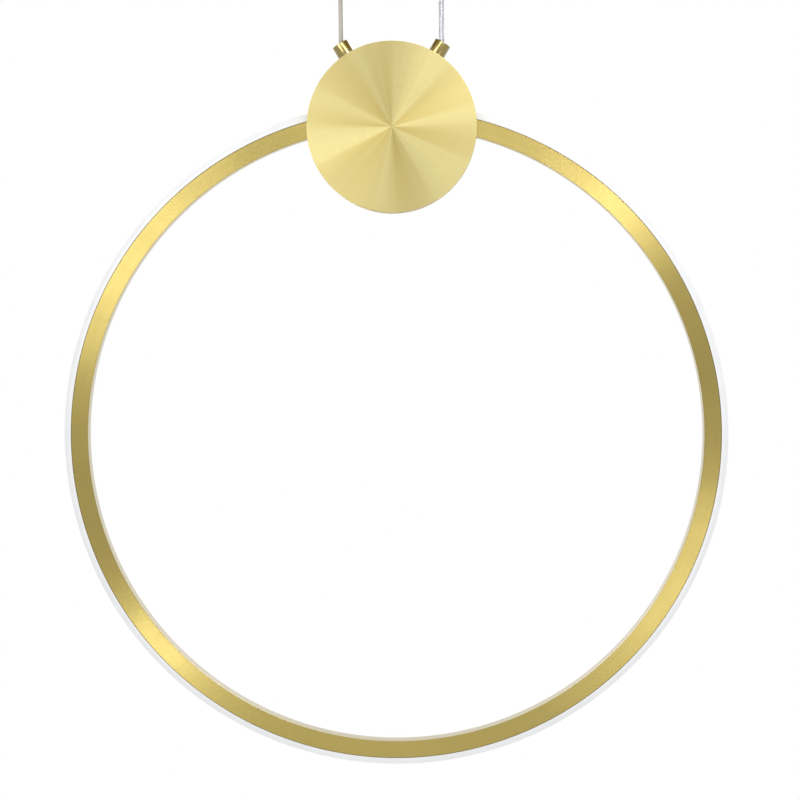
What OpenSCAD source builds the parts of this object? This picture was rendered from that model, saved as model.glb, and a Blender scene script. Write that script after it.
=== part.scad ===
// Ring pendant light: a brass ring that carries an LED strip and a diffuser on its outer
// edge, held by a round drum that hangs on two cords below a ceiling canopy.
// Millimetres, +Z up, front towards -Y. The origin is on the ceiling, in the middle of
// the canopy's screw pattern.

/* [Ring] */
// Diameter over the diffuser
ring_d = 600; // [450:10:800]
// Depth of the ring channel, front to back
ring_depth = 14; // [13:0.5:16]
// Height of the ring channel, measured along a radius
channel_h = 15.5; // [14:0.5:20]
// Wall of the ring channel
channel_wall = 1.5; // [1.2:0.1:1.8]
// How far the diffuser stands out of the channel
diffuser_rise = 7; // [5:0.5:9]
// Wall of the diffuser
diffuser_wall = 1.6; // [1.2:0.1:2]
// Distance between two LEDs along the strip
led_pitch = 14; // [10:1:30]

/* [Drum] */
// Diameter of the drum
drum_d = 151; // [150:1:170]
// Depth of the drum, front to back
drum_depth = 36; // [34:1:46]
// Side wall of the drum
drum_wall = 2; // [1.5:0.5:3]
// Thickness of the turned front face, a little more than the back's so that the drum hangs upright
face_wall = 2.6; // [2:0.1:4]
// Thickness of the drum's back
back_wall = 2.5; // [2.5:0.5:4]
// How far the ring's inner face passes above the drum's centre
ring_above_centre = 1; // [1:0.5:6]

/* [Cords] */
// Diameter of the suspension cord, on the left
suspension_cord_d = 4; // [3:0.5:4.5]
// Diameter of the power cord, on the right
power_cord_d = 5; // [4:0.5:5.5]
// Free length of each cord between its two bending points
cord_drop = 54; // [45:1:1500]

/* [Cord grips] */
// Diameter of the grip caps
grip_d = 15.5; // [15:0.5:17]
// How far the grips stand out of the drum
grip_out = 12.5; // [12:0.5:16]
// How far the grips stand out of the canopy
canopy_grip_out = 10; // [10:0.5:14]
// Lean of the drum's grips from the vertical, in degrees
grip_lean = 31.5; // [28:0.5:34]
// Thread of the nipples
nipple_d = 10; // [9:0.5:10]
// Width of the flared mouth that a cord leaves by
mouth_d = 10; // [9.5:0.1:11]

/* [Ceiling canopy] */
// Diameter of the canopy
canopy_d = 130; // [128:1:160]
// Height of the canopy
canopy_h = 28; // [27:1:50]
// Wall of the canopy
canopy_wall = 1.2; // [1:0.1:1.6]
// Thickness of the ceiling plate
plate_t = 2; // [1.5:0.5:2.5]
// Distance between the two ceiling screw slots
slot_spacing = 60; // [50:1:66]
// Length of a ceiling screw slot, end to end
slot_l = 14; // [8:1:16]
// Width of a ceiling screw slot
slot_w = 5; // [4:0.5:6]
// Diameter of the hole for the supply wires
wire_hole_d = 20; // [14:1:22]

/* [Driver and terminals] */
// Length of the LED driver
driver_l = 72; // [60:1:74]
// Width of the LED driver
driver_w = 30; // [24:1:32]
// Height of the LED driver
driver_h = 20; // [16:1:22]
// Length of the mains terminal block
block_l = 28; // [26:1:32]
// Width of the mains terminal block
block_w = 16; // [14:1:18]
// Height of the mains terminal block
block_h = 13; // [12:1:15]

/* [Fasteners] */
// Thread of the small screws
small_screw_d = 3; // [2.5:0.5:3]
// Thread of the larger screws
large_screw_d = 4; // [3.5:0.5:4]
// Chamfer along the edges of the brass parts
edge = 0.4; // [0.2:0.1:0.6]

/* [Hidden] */
$fn = 96;
ring_fn = 240;

// Clearances
fit = 0.05;      // screw in its thread, and strip on its floor
slide = 0.15;    // cord in its collet, and diffuser in its channel
part_gap = 0.3;  // between parts that pass each other
hole_gap = 0.25; // round a screw or nipple in a plain hole

// Colours
brass = [0.85, 0.76, 0.45];
steel = [0.72, 0.72, 0.74];
opal = [0.96, 0.96, 0.94];
white = [0.93, 0.93, 0.91];
grey = [0.74, 0.71, 0.67];
clear = [0.86, 0.86, 0.88];
amber = [0.95, 0.85, 0.45];
black = [0.15, 0.15, 0.16];
green = [0.35, 0.6, 0.25];

// Ring radii
ring_ro = ring_d / 2 - diffuser_rise;
ring_ri = ring_ro - channel_h;
half_depth = ring_depth / 2;
lip = 0.7;
lip_h = 1.2;
strip_t = 0.4;
strip_w = 9;
strip_r = ring_ri + channel_wall + fit;

// Cord grips: heights along a grip's own axis
mouth_depth = 3;
bend_depth = 2;
land = 0.9;
collet_l = 2.5;
collet_d = nipple_d - 1;
nut_h = 3;
nut_flats = nipple_d + 4;
spot_depth = 0.4;
grip_reach = 12;
canopy_nipple_in = 8;
stop_d = 8;
stop_l = 7;

// Heights below the ceiling
drum_r = drum_d / 2;
cord_x = (drum_r + grip_out - bend_depth) * sin(grip_lean);
upper_bend_z = -canopy_h - canopy_grip_out + bend_depth;
lower_bend_z = upper_bend_z - cord_drop;
drum_z = lower_bend_z - (drum_r + grip_out - bend_depth) * cos(grip_lean);
ring_rise = ring_ri - ring_above_centre;
ring_z = drum_z - ring_rise;

// Drum, measured from its middle plane, with the front positive
face_at = drum_depth / 2;
seam_at = half_depth + part_gap;
inner_r = drum_r - drum_wall;
inside_front = face_at - face_wall;
inside_back = -face_at + back_wall;

// Pillars that join the drum's face to its back: distance from the centre, and angles
pillar_d = 7;
pillar_r = inner_r - 18;
pillar_angles = [90, 224, 316];

// Saddles that hold the ring in the drum
saddle_x = 42;
saddle_l = 20;
saddle_rim = 6;
strap_t = 1.8;
strap_screw_l = 3 * small_screw_d;
pillar_thread = 3 * large_screw_d;

// Splice at the top of the ring
splice_l = 30;
splice_t = 2;
splice_screw_x = [-11, -5, 5, 11];
saw_cut = 0.3;
strip_start_x = 25;

// Connector inside the drum, measured from the drum's centre
connector_x = 3;
connector_y = 40;
connector_l = 22;
connector_h = 12;
connector_depth = 11;
lead_d = 1.6;
lead_pitch = 3;

// Ceiling plate and what is under it
plate_d = canopy_d - 14;
lug_w = 14;
lug_l = 15;
lug_t = 2;
lug_hole_z = -9;
cup_r = canopy_d / 2;
cup_round = 5;
driver_y = 29;
flange_l = 6;
flange_t = 2;
block_y = -26;
pole_pitch = 9;
pole_z = -plate_t - block_h + 5;
wire_way_d = 3;
pole_screw_d = 4.6;
earth_x = 34;
earth_y = -30;
tongue_t = 1;

// Angle round the ring, from its top, at which a radius is x to the side
function turn_at(x, r) = asin(x / r);

// Angle round the ring at which the radius r meets a circle of another radius about the drum's centre
function meet(r, other) = acos((r * r + ring_rise * ring_rise - other * other) / (2 * r * ring_rise));

function unit(v) = v / norm(v);
function heading(p, i) = unit(p[min(i + 1, len(p) - 1)] - p[max(i - 1, 0)]);
function square_to(n, t) = unit(n - (n * t) * t);
function sides_of(p, n, i = 0) =
    let (here = square_to(n, heading(p, i)))
    i == len(p) - 1 ? [here] : concat([here], sides_of(p, here, i + 1));

// Point k of steps on the curve that rounds the corner b between a and c, from run before it to run after it
function rounding(a, b, c, run, steps, k) =
    let (s = k / steps, from = b + run * unit(a - b), to = b + run * unit(c - b))
    (1 - s) * (1 - s) * from + 2 * s * (1 - s) * b + s * s * to;

// A route with its corners rounded
function smooth(route, run, steps = 4) = concat(
    [route[0]],
    [for (i = [1 : 1 : len(route) - 2]) for (k = [0 : steps])
        rounding(route[i - 1], route[i], route[i + 1], run, steps, k)],
    [route[len(route) - 1]]
);

// Tube through the points, with one radius for each of them
module tube(points, radii, n = 12) {
    normals = sides_of(points, [0.31, 0.94, 0.12]);
    rings = [for (i = [0 : len(points) - 1])
        let (t = heading(points, i), u = normals[i], v = cross(t, u))
        for (k = [0 : n - 1]) points[i] + radii[i] * (cos(360 * k / n) * u + sin(360 * k / n) * v)];
    last = len(points) - 1;
    polyhedron(
        points = rings,
        faces = concat(
            [[for (k = [0 : n - 1]) k]],
            [for (i = [0 : last - 1]) for (k = [0 : n - 1])
                let (a = i * n + k, b = i * n + (k + 1) % n) [a, a + n, b + n, b]],
            [[for (k = [n - 1 : -1 : 0]) last * n + k]]
        )
    );
}

// Flexible lead of one thickness along a rounded route
module lead(route, d, run, n = 8) {
    points = smooth(route, run);
    tube(points, [for (p = points) d / 2], n);
}

// Straight stretch of hanging cord with narrowed ends, so that it can lean on the next one
module plumb(x, top, bottom, d) {
    taper = min(0.8, (top - bottom) / 3);
    count = ceil((top - bottom - 2 * taper) / (2.5 * d));
    step = (top - bottom - 2 * taper) / count;
    heights = concat([top], [for (k = [0 : count]) top - taper - k * step], [bottom]);
    tube(
        [for (z = heights) [x, 0, z]],
        concat([0.32 * d], [for (k = [0 : count]) d / 2], [0.32 * d])
    );
}

// Moves shapes drawn with the front towards +Z to the lamp, at a height
module facing(z) {
    translate([0, 0, z]) rotate([90, 0, 0]) children();
}

// Arc round the ring's centre: the section is drawn with x as the radius and y towards the front
module ring_arc(from, to) {
    rotate([0, 0, 90 - to]) rotate_extrude(angle = to - from, $fn = ring_fn) children();
}

// Shapes drawn along +Z, set on the ring at an angle from its top and a radius
module on_ring(angle, r) {
    rotate([0, 0, -angle]) translate([0, r, 0]) rotate([-90, 0, 0]) children();
}

// Shapes drawn along +Z from the drum's centre, turned to a grip's axis
module along_grip(side) {
    translate([0, 0, drum_z]) rotate([0, side * grip_lean, 0]) children();
}

// Solid of revolution with both its outer edges chamfered
module turned(r, h, c) {
    rotate_extrude() polygon([[0, 0], [r - c, 0], [r, c], [r, h - c], [r - c, h], [0, h]]);
}

// Screw with a domed head and a slot. The head stands on z = 0 and the shank hangs below
module pan_screw(d, l) {
    difference() {
        union() {
            rotate_extrude() polygon([[0, 0], [d * 0.95, 0], [d * 0.95, d * 0.35], [d * 0.7, d * 0.6], [0, d * 0.6]]);
            translate([0, 0, -l]) cylinder(d = d - 2 * fit, h = l + 0.01);
        }
        translate([-d, -d * 0.1, d * 0.35]) cube([2 * d, d * 0.2, d]);
    }
}

// Screw with a flush conical head. The head's top is z = 0
module flush_screw(d, l) {
    difference() {
        union() {
            translate([0, 0, -d * 0.5]) cylinder(d1 = d - 2 * fit, d2 = d * 1.9, h = d * 0.5);
            translate([0, 0, -l]) cylinder(d = d - 2 * fit, h = l - d * 0.4);
        }
        translate([-d, -d * 0.1, -d * 0.25]) cube([2 * d, d * 0.2, d]);
    }
}

// Hole that takes a flush screw
module flush_hole(d, l) {
    translate([0, 0, -d * 0.5]) cylinder(d1 = d + 2 * hole_gap, d2 = d * 1.9 + 2 * hole_gap, h = d * 0.5 + 0.01);
    translate([0, 0, -l]) cylinder(d = d + 2 * hole_gap, h = l);
}

// Grip cap, drawn upwards: thread at the bottom, collet seat, land, flared mouth at the top
module grip_cap(l, cord_d) {
    seat = l - mouth_depth - land;
    difference() {
        turned(grip_d / 2, l, edge);
        translate([0, 0, -1]) cylinder(d = nipple_d, h = seat - collet_l + 1);
        translate([0, 0, seat - collet_l - 0.01]) cylinder(d = collet_d + 2 * fit, h = collet_l + 0.01);
        cylinder(d = cord_d + 2 * hole_gap, h = l);
        translate([0, 0, l - mouth_depth]) cylinder(d1 = cord_d + 2 * hole_gap, d2 = mouth_d, h = mouth_depth + 0.01);
    }
}

// How far a nipple's end is from the mouth's rim
nipple_end = mouth_depth + land + collet_l;

module nipple(l) {
    difference() {
        cylinder(d = nipple_d - 2 * fit, h = l);
        translate([0, 0, -1]) cylinder(d = nipple_d - 3, h = l + 2);
    }
}

module collet(cord_d) {
    difference() {
        cylinder(d = collet_d - 2 * fit, h = collet_l);
        translate([0, 0, -1]) cylinder(d = cord_d + 2 * slide, h = collet_l + 2);
    }
}

module nut() {
    difference() {
        cylinder(d = nut_flats / cos(30), h = nut_h, $fn = 6);
        translate([0, 0, -1]) cylinder(d = nipple_d, h = nut_h + 2);
    }
}

module cord_stop() {
    difference() {
        turned(stop_d / 2, stop_l, edge);
        translate([0, 0, -1]) cylinder(d = suspension_cord_d + 2 * slide, h = stop_l + 2);
    }
}

// Ceiling plate: a steel disc with a wire hole, two slots and two lugs for the canopy's screws
module ceiling_plate() {
    lug_y = cup_r - canopy_wall - 1.3;
    color(steel) difference() {
        union() {
            translate([0, 0, -plate_t]) cylinder(d = plate_d, h = plate_t);
            translate([-lug_w / 2, -lug_y, -plate_t]) cube([lug_w, 2 * lug_y, plate_t]);
            for (side = [-1, 1])
                translate([-lug_w / 2, side * (lug_y - lug_t / 2) - lug_t / 2, -lug_l]) cube([lug_w, lug_t, lug_l]);
        }
        translate([0, 0, -plate_t - 1]) cylinder(d = wire_hole_d, h = plate_t + 2);
        for (side = [-1, 1]) translate([side * slot_spacing / 2, 0, -plate_t - 1]) {
            for (end = [-1, 1]) translate([end * (slot_l - slot_w) / 2, 0, 0]) cylinder(d = slot_w, h = plate_t + 2);
            translate([-(slot_l - slot_w) / 2, -slot_w / 2, 0]) cube([slot_l - slot_w, slot_w, plate_t + 2]);
        }
        for (side = [-1, 1])
            translate([0, side * (lug_y + 1), lug_hole_z]) rotate([side * 90, 0, 0])
                cylinder(d = large_screw_d, h = lug_t + 2);
        for (place = plate_screw_places()) translate([place[0], place[1], -plate_t - 1])
            cylinder(d = small_screw_d, h = plate_t + 2);
        translate([earth_x, earth_y, -plate_t - 1]) cylinder(d = large_screw_d, h = plate_t + 2);
    }
}

// Where small screws go into the ceiling plate, and the height that their heads stand against
function plate_screw_places() = [
    [-driver_l / 2 - flange_l / 2, driver_y, -plate_t - flange_t],
    [driver_l / 2 + flange_l / 2, driver_y, -plate_t - flange_t],
    [-pole_pitch / 2, block_y, -plate_t - block_h / 2],
    [pole_pitch / 2, block_y, -plate_t - block_h / 2]
];

// Canopy: a spun cup with a rounded lower edge, two cord holes and two side holes
module canopy_cup() {
    outer = [for (k = [0 : 8]) [cup_r - cup_round + cup_round * cos(k * 90 / 8), -canopy_h + cup_round - cup_round * sin(k * 90 / 8)]];
    round_in = cup_round - canopy_wall;
    inner = [for (k = [8 : -1 : 0]) [cup_r - cup_round + round_in * cos(k * 90 / 8), -canopy_h + cup_round - round_in * sin(k * 90 / 8)]];
    color(brass) difference() {
        rotate_extrude() polygon(concat(
            [[cup_r, 0]], outer, [[0, -canopy_h], [0, -canopy_h + canopy_wall]], inner, [[cup_r - canopy_wall, 0]]
        ));
        for (side = [-1, 1]) {
            translate([side * cord_x, 0, -canopy_h - 1]) cylinder(d = nipple_d + 2 * hole_gap, h = canopy_wall + 2);
            translate([0, side * (cup_r + 1), lug_hole_z]) rotate([side * 90, 0, 0])
                cylinder(d = large_screw_d + 2 * hole_gap, h = canopy_wall + 2);
        }
    }
}

module canopy_screws() {
    color(brass) for (side = [-1, 1])
        translate([0, side * cup_r, lug_hole_z]) rotate([-side * 90, 0, 0])
            pan_screw(large_screw_d, canopy_wall + lug_t + 4);
}

// Hangs a grip's parts, drawn upwards from the drum, below the canopy's floor
module under_canopy(side) {
    translate([side * cord_x, 0, -canopy_h]) rotate([180, 0, 0]) children();
}

module left_canopy_grip() {
    color(brass) under_canopy(-1) grip_cap(canopy_grip_out, suspension_cord_d);
}

module right_canopy_grip() {
    color(brass) under_canopy(1) grip_cap(canopy_grip_out, power_cord_d);
}

module canopy_nipples() {
    inside = canopy_wall + canopy_nipple_in;
    color(steel) for (side = [-1, 1])
        under_canopy(side) translate([0, 0, -inside]) nipple(inside + canopy_grip_out - nipple_end);
}

module canopy_nuts() {
    color(steel) for (side = [-1, 1])
        under_canopy(side) translate([0, 0, -canopy_wall - nut_h]) nut();
}

module canopy_collets() {
    color(white) {
        under_canopy(-1) translate([0, 0, canopy_grip_out - nipple_end]) collet(suspension_cord_d);
        under_canopy(1) translate([0, 0, canopy_grip_out - nipple_end]) collet(power_cord_d);
    }
}

module upper_cord_stop() {
    color(steel) under_canopy(-1) translate([0, 0, -canopy_wall - canopy_nipple_in - stop_l]) cord_stop();
}

// Half the gap between two cord stretches, so that they can lean on each other
bend_gap = 0.45;

module left_cord_top() {
    top = -canopy_h + canopy_wall + canopy_nipple_in + stop_l;
    color(grey) lead([[-cord_x, 0, top], [-cord_x, 0, upper_bend_z + bend_gap]], suspension_cord_d, 0, 12);
}

// The power cord goes up through its nipple and over to the end of the driver
module right_cord_top() {
    turn_z = -canopy_h + canopy_wall + canopy_nipple_in + 6;
    color(clear) lead([
        [cord_x, 0, upper_bend_z + bend_gap], [cord_x, 0, turn_z], [cord_x + 1, driver_y, turn_z],
        [driver_l / 2, driver_y, turn_z]
    ], power_cord_d, 5.5, 12);
}

// Driver: a plastic case with a flange at each end
module driver() {
    color(white) difference() {
        union() {
            translate([-driver_l / 2, driver_y - driver_w / 2, -plate_t - driver_h])
                cube([driver_l, driver_w, driver_h]);
            translate([-driver_l / 2 - flange_l, driver_y - 6, -plate_t - flange_t])
                cube([driver_l + 2 * flange_l, 12, flange_t]);
        }
        for (side = [-1, 1]) {
            translate([side * (driver_l + flange_l) / 2, driver_y, -plate_t - flange_t - 1])
                cylinder(d = small_screw_d + 2 * hole_gap, h = flange_t + 2);
            for (wall = [-1, 1])
                translate([side * driver_l / 2, driver_y + wall * driver_w / 2, -plate_t - driver_h - 1])
                    rotate([0, 0, 45]) translate([-1.5, -1.5, 0]) cube([3, 3, driver_h - flange_t + 1]);
        }
    }
}

// Terminal block: three poles, with a wire way through each and a screw well at each end
module terminal_block() {
    base_z = -plate_t - block_h;
    color(white) difference() {
        translate([-block_l / 2, block_y - block_w / 2, base_z]) cube([block_l, block_w, block_h]);
        for (pole = [-1 : 1]) {
            translate([pole * pole_pitch, block_y - block_w / 2 - 1, pole_z]) rotate([-90, 0, 0])
                cylinder(d = wire_way_d, h = block_w + 2);
            for (end = [-1, 1])
                translate([pole * pole_pitch, block_y + end * pole_pitch / 2, base_z - 1])
                    cylinder(d = pole_screw_d, h = 4);
        }
        for (side = [-1, 1]) translate([side * pole_pitch / 2, block_y, base_z - 1]) {
            cylinder(d = small_screw_d + 2 * hole_gap, h = block_h + 2);
            cylinder(d = small_screw_d * 1.9 + 2 * part_gap, h = block_h / 2 + 1);
        }
    }
}

module terminal_screws() {
    color(brass) for (pole = [-1 : 1]) for (end = [-1, 1])
        translate([pole * pole_pitch, block_y + end * pole_pitch / 2, -plate_t - block_h + 1]) difference() {
            cylinder(d = pole_screw_d - 2 * fit, h = 2 - fit);
            translate([-pole_screw_d, -0.4, -1]) cube([2 * pole_screw_d, 0.8, 1.8]);
        }
}

module plate_screws() {
    color(steel) for (place = plate_screw_places())
        translate(place) rotate([180, 0, 0]) pan_screw(small_screw_d, -place[2]);
}

module earth_screw() {
    color(brass) translate([earth_x, earth_y, -plate_t - tongue_t]) rotate([180, 0, 0])
        pan_screw(large_screw_d, plate_t + tongue_t);
}

// Two mains leads leave the front of the terminal block and pass over the left cord's stop to the driver
module mains_leads() {
    room_r = cup_r - canopy_wall - 9;
    front_y = block_y - block_w / 2;
    color(black) for (k = [0, 1]) {
        out = 3 * k;
        lead([
            [(k - 1) * pole_pitch, front_y + 2, pole_z], [(k - 1) * pole_pitch, front_y - 6 - out, pole_z],
            [-block_l + 3 - out, front_y - 6 - out, pole_z + 2], [-room_r + 7 - out / 2, block_y + 4 - out, -plate_t - 5],
            [-room_r + 2 - out, 0, -plate_t - 4], [-room_r + 3 - out, driver_y + out, -plate_t - 8],
            [-driver_l / 2, driver_y + out, -plate_t - 8]
        ], 2, 4);
    }
}

// The earth lead leaves the third pole and ends in a flat ring tongue under the earth screw
module earth_lead() {
    front_y = block_y - block_w / 2;
    tongue_l = large_screw_d + 2.5;
    color(green) {
        lead([
            [pole_pitch, front_y + 2, pole_z], [pole_pitch, front_y - 6, pole_z],
            [earth_x - tongue_l - 5, front_y - 4, -plate_t - 5], [earth_x - tongue_l + 1, earth_y, -plate_t - 1.3]
        ], 2, 3);
        translate([earth_x, earth_y, -plate_t - tongue_t]) difference() {
            union() {
                cylinder(d = 2 * large_screw_d, h = tongue_t);
                translate([-tongue_l, -2, 0]) cube([tongue_l, 4, tongue_t]);
            }
            translate([0, 0, -1]) cylinder(d = large_screw_d + 2 * hole_gap, h = tongue_t + 2);
        }
    }
}

// Free cords. Each has a neck under the canopy, a long stretch, and a tail over the grip,
// so that it can lean to and fro and sideways at both ends
stub_l = 3;
neck_top = upper_bend_z - bend_gap;
neck_bottom = neck_top - stub_l;
cord_top = neck_bottom - 2 * bend_gap;
tail_bottom = lower_bend_z + bend_gap;
tail_top = tail_bottom + stub_l;
cord_bottom = tail_top + 2 * bend_gap;

module left_cord_neck() {
    color(grey) plumb(-cord_x, neck_top, neck_bottom, suspension_cord_d);
}

module right_cord_neck() {
    color(clear) plumb(cord_x, neck_top, neck_bottom, power_cord_d);
}

module left_cord() {
    color(grey) plumb(-cord_x, cord_top, cord_bottom, suspension_cord_d);
}

module right_cord() {
    color(clear) plumb(cord_x, cord_top, cord_bottom, power_cord_d);
}

module left_cord_tail() {
    color(grey) plumb(-cord_x, tail_top, tail_bottom, suspension_cord_d);
}

module right_cord_tail() {
    color(clear) plumb(cord_x, tail_top, tail_bottom, power_cord_d);
}

// Grip caps on the drum, each on a flat spot cut in the drum's side
grip_seat = drum_r - spot_depth;
grip_cap_l = grip_out + spot_depth;

module left_grip() {
    color(brass) along_grip(-1) translate([0, 0, grip_seat]) grip_cap(grip_cap_l, suspension_cord_d);
}

module right_grip() {
    color(brass) along_grip(1) translate([0, 0, grip_seat]) grip_cap(grip_cap_l, power_cord_d);
}

module grip_nipples() {
    bottom = inner_r - grip_reach;
    color(steel) for (side = [-1, 1])
        along_grip(side) translate([0, 0, bottom]) nipple(drum_r + grip_out - nipple_end - bottom);
}

// The nuts bear on the drum's inside with their corners, because the wall is curved
nut_sink = inner_r - sqrt(inner_r * inner_r - pow(nut_flats / 2 / cos(30), 2)) + fit;

module grip_nuts() {
    color(steel) for (side = [-1, 1])
        along_grip(side) translate([0, 0, inner_r - nut_sink - nut_h]) nut();
}

module grip_collets() {
    color(white) {
        along_grip(-1) translate([0, 0, drum_r + grip_out - nipple_end]) collet(suspension_cord_d);
        along_grip(1) translate([0, 0, drum_r + grip_out - nipple_end]) collet(power_cord_d);
    }
}

module lower_cord_stop() {
    color(steel) along_grip(-1) translate([0, 0, inner_r - grip_reach - stop_l]) cord_stop();
}

// Where the fixed end of a cord stops, short of the bending point in the grip's mouth
cord_end_r = drum_r + grip_out - bend_depth - 1.5;

module left_cord_end() {
    bottom = inner_r - grip_reach - stop_l;
    color(grey) along_grip(-1) lead([[0, 0, bottom], [0, 0, cord_end_r]], suspension_cord_d, 0, 12);
}

// A point given across, up and to the front of the drum's centre
function in_drum(x, up, front) = [x, -front, drum_z + up];

// The power cord runs down through its nipple and back to the connector
module right_cord_end() {
    low = inner_r - grip_reach - 4;
    axis = [sin(grip_lean), cos(grip_lean)];
    depth = inside_back + connector_depth / 2;
    color(clear) lead([
        in_drum(cord_end_r * axis[0], cord_end_r * axis[1], 0), in_drum(low * axis[0], low * axis[1], 0),
        in_drum(connector_x + connector_l / 2 + 8, connector_y, depth), in_drum(connector_x + connector_l / 2, connector_y, depth)
    ], power_cord_d, 4, 12);
}

module connector() {
    color(white) facing(drum_z) difference() {
        translate([connector_x - connector_l / 2, connector_y - connector_h / 2, inside_back])
            cube([connector_l, connector_h, connector_depth]);
        for (side = [-1, 1]) for (pole = [-1, 1])
            translate([connector_x + side * 6, connector_y + pole * 3, inside_back + connector_depth - 2])
                cylinder(d = 3.6, h = 3);
    }
}

module connector_screws() {
    color(brass) facing(drum_z) for (side = [-1, 1]) for (pole = [-1, 1])
        translate([connector_x + side * 6, connector_y + pole * 3, inside_back + connector_depth - 2]) difference() {
            cylinder(d = 3.6 - 2 * fit, h = 1.5);
            translate([-2, -0.35, 0.9]) cube([4, 0.7, 1]);
        }
}

// Two leads run from the connector down into the channel's open mouth, to the strip's left end
module led_leads() {
    start = connector_x - connector_l / 2;
    depth = inside_back + connector_depth / 2;
    floor_up = sqrt(pow(strip_r + strip_t, 2) - pow(strip_start_x, 2)) - ring_rise;
    colour_of = [[0.75, 0.15, 0.12], black];
    for (k = [0, 1]) color(colour_of[k])
        lead([
            in_drum(start, connector_y + (k - 0.5) * lead_pitch, depth),
            in_drum(start - 8, connector_y + (k - 0.5) * lead_pitch, depth),
            in_drum(-strip_start_x - 1.5, 30, (k - 0.5) * lead_pitch),
            in_drum(-strip_start_x - 1.5, floor_up + lead_d / 2 + 0.1, (k - 0.5) * lead_pitch)
        ], lead_d, 4);
}

// Room that the ring takes where it passes through the drum's side
module ring_path(front) {
    translate([0, -ring_rise, 0]) rotate_extrude($fn = ring_fn)
        translate([ring_ri - part_gap, -half_depth - part_gap])
            square([channel_h + diffuser_rise + 2 * part_gap, half_depth + part_gap + front]);
}

// Flat spots cut in the drum's side for the grips
module grip_spots() {
    for (side = [-1, 1]) along_grip(side) translate([0, 0, grip_seat]) cylinder(d = grip_d + part_gap, h = 4);
}

// Front of the drum: a turned face with a short rim that closes over the ring
module drum_face() {
    color(brass) difference() {
        facing(drum_z) rotate_extrude() polygon([
            [0, face_at], [drum_r - edge, face_at], [drum_r, face_at - edge], [drum_r, seam_at],
            [inner_r, seam_at], [inner_r, inside_front], [0, inside_front]
        ]);
        grip_spots();
    }
}

// Back of the drum: side wall with the ring's slots and the grips' seats, and the back
module drum_shell() {
    color(brass) difference() {
        facing(drum_z) difference() {
            rotate_extrude() polygon([
                [0, -face_at], [drum_r - edge, -face_at], [drum_r, -face_at + edge], [drum_r, seam_at],
                [inner_r, seam_at], [inner_r, inside_back], [0, inside_back]
            ]);
            ring_path(seam_at + 1);
            for (a = pillar_angles) rotate([0, 0, a]) translate([pillar_r, 0, -face_at]) rotate([180, 0, 0])
                flush_hole(large_screw_d, back_wall + 1);
            for (side = [-1, 1]) saddle_screw_place(side) flush_hole(large_screw_d, back_wall + 1);
        }
        grip_spots();
        for (side = [-1, 1])
            along_grip(side) translate([0, 0, inner_r - 4]) cylinder(d = nipple_d + 2 * hole_gap, h = drum_wall + 8);
    }
}

module pillars() {
    color(steel) facing(drum_z) for (a = pillar_angles) rotate([0, 0, a]) translate([pillar_r, 0, inside_back])
        difference() {
            cylinder(d = pillar_d, h = inside_front - inside_back);
            translate([0, 0, -1]) cylinder(d = large_screw_d, h = pillar_thread + 1);
        }
}

module rear_screws() {
    color(brass) facing(drum_z) for (a = pillar_angles) rotate([0, 0, a]) translate([pillar_r, 0, -face_at])
        rotate([180, 0, 0]) flush_screw(large_screw_d, back_wall + 0.7 * pillar_thread);
}

// Middle of a saddle, drawn from the drum's centre, on the outside of the drum's back
module saddle_screw_place(side) {
    r = (ring_ri + ring_ro) / 2;
    translate([0, -ring_rise, -face_at]) rotate([0, 0, -side * turn_at(saddle_x, r)]) translate([0, r, 0])
        rotate([180, 0, 0]) children();
}

// Angles at which a saddle on one side starts and ends
function saddle_from(side) = side * turn_at(saddle_x, ring_ri) - 90 * saddle_l / PI / ring_ri;
function saddle_to(side) = side * turn_at(saddle_x, ring_ri) + 90 * saddle_l / PI / ring_ri;

// Saddles: U-shaped blocks on the drum's back in which the ring lies
module ring_saddles() {
    color(steel) facing(drum_z) difference() {
        translate([0, -ring_rise, 0]) for (side = [-1, 1]) ring_arc(saddle_from(side), saddle_to(side))
            difference() {
                translate([ring_ri - saddle_rim, inside_back])
                    square([channel_h + 2 * saddle_rim, half_depth + slide - inside_back]);
                translate([ring_ri - slide, -half_depth - slide]) square([channel_h + 2 * slide, ring_depth + 2]);
            }
        for (side = [-1, 1]) {
            saddle_screw_place(side) cylinder(d = large_screw_d, h = 2 * (face_at - half_depth), center = true);
            strap_screw_places(side, half_depth - strap_screw_l) cylinder(d = small_screw_d, h = strap_screw_l + 1);
        }
    }
}

// Where the two screws of a saddle's strap stand, at a height towards the front
module strap_screw_places(side, front) {
    translate([0, -ring_rise, front]) rotate([0, 0, -side * turn_at(saddle_x, ring_ri)])
        for (r = [ring_ri - saddle_rim / 2, ring_ro + saddle_rim / 2]) translate([0, r, 0]) children();
}

module saddle_straps() {
    color(steel) facing(drum_z) difference() {
        translate([0, -ring_rise, 0]) for (side = [-1, 1]) ring_arc(saddle_from(side) + 1, saddle_to(side) - 1)
            translate([ring_ri - saddle_rim, half_depth + slide]) square([channel_h + 2 * saddle_rim, strap_t]);
        for (side = [-1, 1]) strap_screw_places(side, half_depth) cylinder(d = small_screw_d + 2 * hole_gap, h = 5);
    }
}

module strap_screws() {
    color(steel) facing(drum_z) for (side = [-1, 1])
        strap_screw_places(side, half_depth + slide + strap_t) pan_screw(small_screw_d, strap_screw_l);
}

module saddle_screws() {
    color(brass) facing(drum_z) for (side = [-1, 1])
        saddle_screw_place(side) flush_screw(large_screw_d, back_wall + 6);
}

// Splice: a curved plate inside the ring that closes the saw cut at the top
splice_half = 90 * splice_l / PI / ring_ri;

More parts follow.
